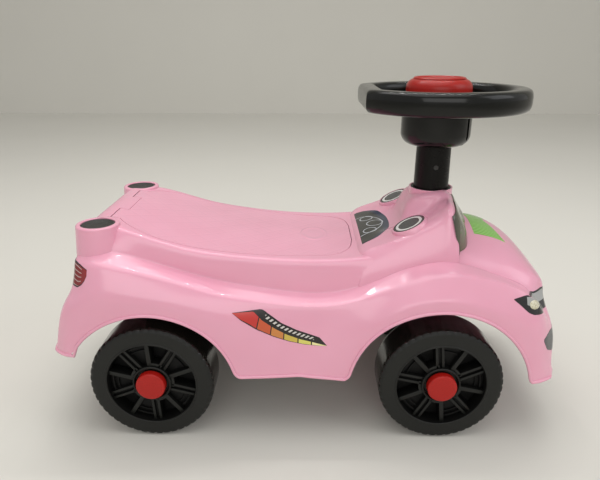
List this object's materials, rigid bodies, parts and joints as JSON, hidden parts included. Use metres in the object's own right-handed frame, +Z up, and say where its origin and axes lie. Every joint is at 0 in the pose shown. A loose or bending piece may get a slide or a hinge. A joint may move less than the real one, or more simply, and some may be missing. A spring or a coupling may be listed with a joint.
{
  "type": "ride-on toy car",
  "caption": "Moulded foot-to-floor ride-on car with a hinged seat lid over a storage box, a steering wheel with a horn button, and four free wheels.",
  "frame": {"origin": "on the floor under the middle of the car's length and width", "axes": "+X towards the front of the car, +Y towards its left side, +Z up"},
  "size_m": [0.5689, 0.2706, 0.3835],
  "materials": {
    "pink_body": "glossy moulded, pink",
    "black_plastic": "glossy moulded, black",
    "red_plastic": "glossy moulded, red",
    "zinc_steel": "bright zinc",
    "dark_mesh": "dark printed mesh",
    "smoked_screen": "glossy smoked"
  },
  "bodies": {
    "car_body": {"body_shell": "pink_body", "storage_tub": "black_plastic", "tub_screw_1": "zinc_steel", "tub_screw_2": "zinc_steel", "tub_screw_3": "zinc_steel", "tub_screw_4": "zinc_steel", "windscreen": "smoked_screen", "speaker_left": "dark_mesh", "speaker_right": "dark_mesh", "pillar_cap_left": "dark_mesh", "pillar_cap_right": "dark_mesh", "column_bush_upper": "black_plastic", "column_bush_lower": "black_plastic", "hinge_pin": "zinc_steel", "rear_axle": "zinc_steel", "rear_axle_tube": "black_plastic", "rear_axle_bracket_left": "black_plastic", "rear_axle_bracket_right": "black_plastic", "bracket_screw_1": "zinc_steel", "bracket_screw_2": "zinc_steel", "bracket_screw_3": "zinc_steel", "bracket_screw_4": "zinc_steel", "push_nut_rear_left": "zinc_steel", "push_nut_rear_right": "zinc_steel", "washer_rear_left": "zinc_steel", "washer_rear_right": "zinc_steel"},
    "seat": {"seat_lid": "pink_body"},
    "steering": {"axle_yoke": "black_plastic", "front_axle": "zinc_steel", "push_nut_front_left": "zinc_steel", "push_nut_front_right": "zinc_steel", "washer_front_left": "zinc_steel", "washer_front_right": "zinc_steel", "steering_column": "black_plastic", "column_pin": "zinc_steel", "column_screw": "zinc_steel", "hub_cup": "black_plastic", "hub_screw_1": "zinc_steel", "hub_screw_2": "zinc_steel", "hub_screw_3": "zinc_steel", "sound_module": "black_plastic", "steering_wheel": "black_plastic", "button_spring": "zinc_steel"},
    "button": {"horn_button": "red_plastic"},
    "wheel_front_left": {"wheel_front_left": "black_plastic", "hub_cap_front_left": "red_plastic"},
    "wheel_front_right": {"wheel_front_right": "black_plastic", "hub_cap_front_right": "red_plastic"},
    "wheel_rear_left": {"wheel_rear_left": "black_plastic", "hub_cap_rear_left": "red_plastic"},
    "wheel_rear_right": {"wheel_rear_right": "black_plastic", "hub_cap_rear_right": "red_plastic"}
  },
  "joints": [
    {"name": "seat_hinge", "type": "hinge", "parent": "car_body", "child": "seat", "pos_m": [-0.216, 0, 0.2333], "axis": [0, -1, 0], "range_deg": [0, 80]},
    {"name": "steering_turn", "type": "hinge", "parent": "car_body", "child": "steering", "pos_m": [0.1445, 0, 0.2], "axis": [0, 0, 1], "range_deg": [-20, 20]},
    {"name": "horn_press", "type": "slide", "parent": "steering", "child": "button", "axis": [0, 0, -1], "range_m": [0, 0.003], "stiffness_N_per_m": 400, "springref_m": -0.002, "deforming": ["button_spring"]},
    {"name": "front_left_wheel_turn", "type": "hinge", "parent": "steering", "child": "wheel_front_left", "pos_m": [0.1445, 0.107, 0.068], "axis": [0, 1, 0], "continuous": true},
    {"name": "front_right_wheel_turn", "type": "hinge", "parent": "steering", "child": "wheel_front_right", "pos_m": [0.1445, -0.107, 0.068], "axis": [0, 1, 0], "continuous": true},
    {"name": "rear_left_wheel_turn", "type": "hinge", "parent": "car_body", "child": "wheel_rear_left", "pos_m": [-0.172, 0.107, 0.068], "axis": [0, 1, 0], "continuous": true},
    {"name": "rear_right_wheel_turn", "type": "hinge", "parent": "car_body", "child": "wheel_rear_right", "pos_m": [-0.172, -0.107, 0.068], "axis": [0, 1, 0], "continuous": true}
  ]
}
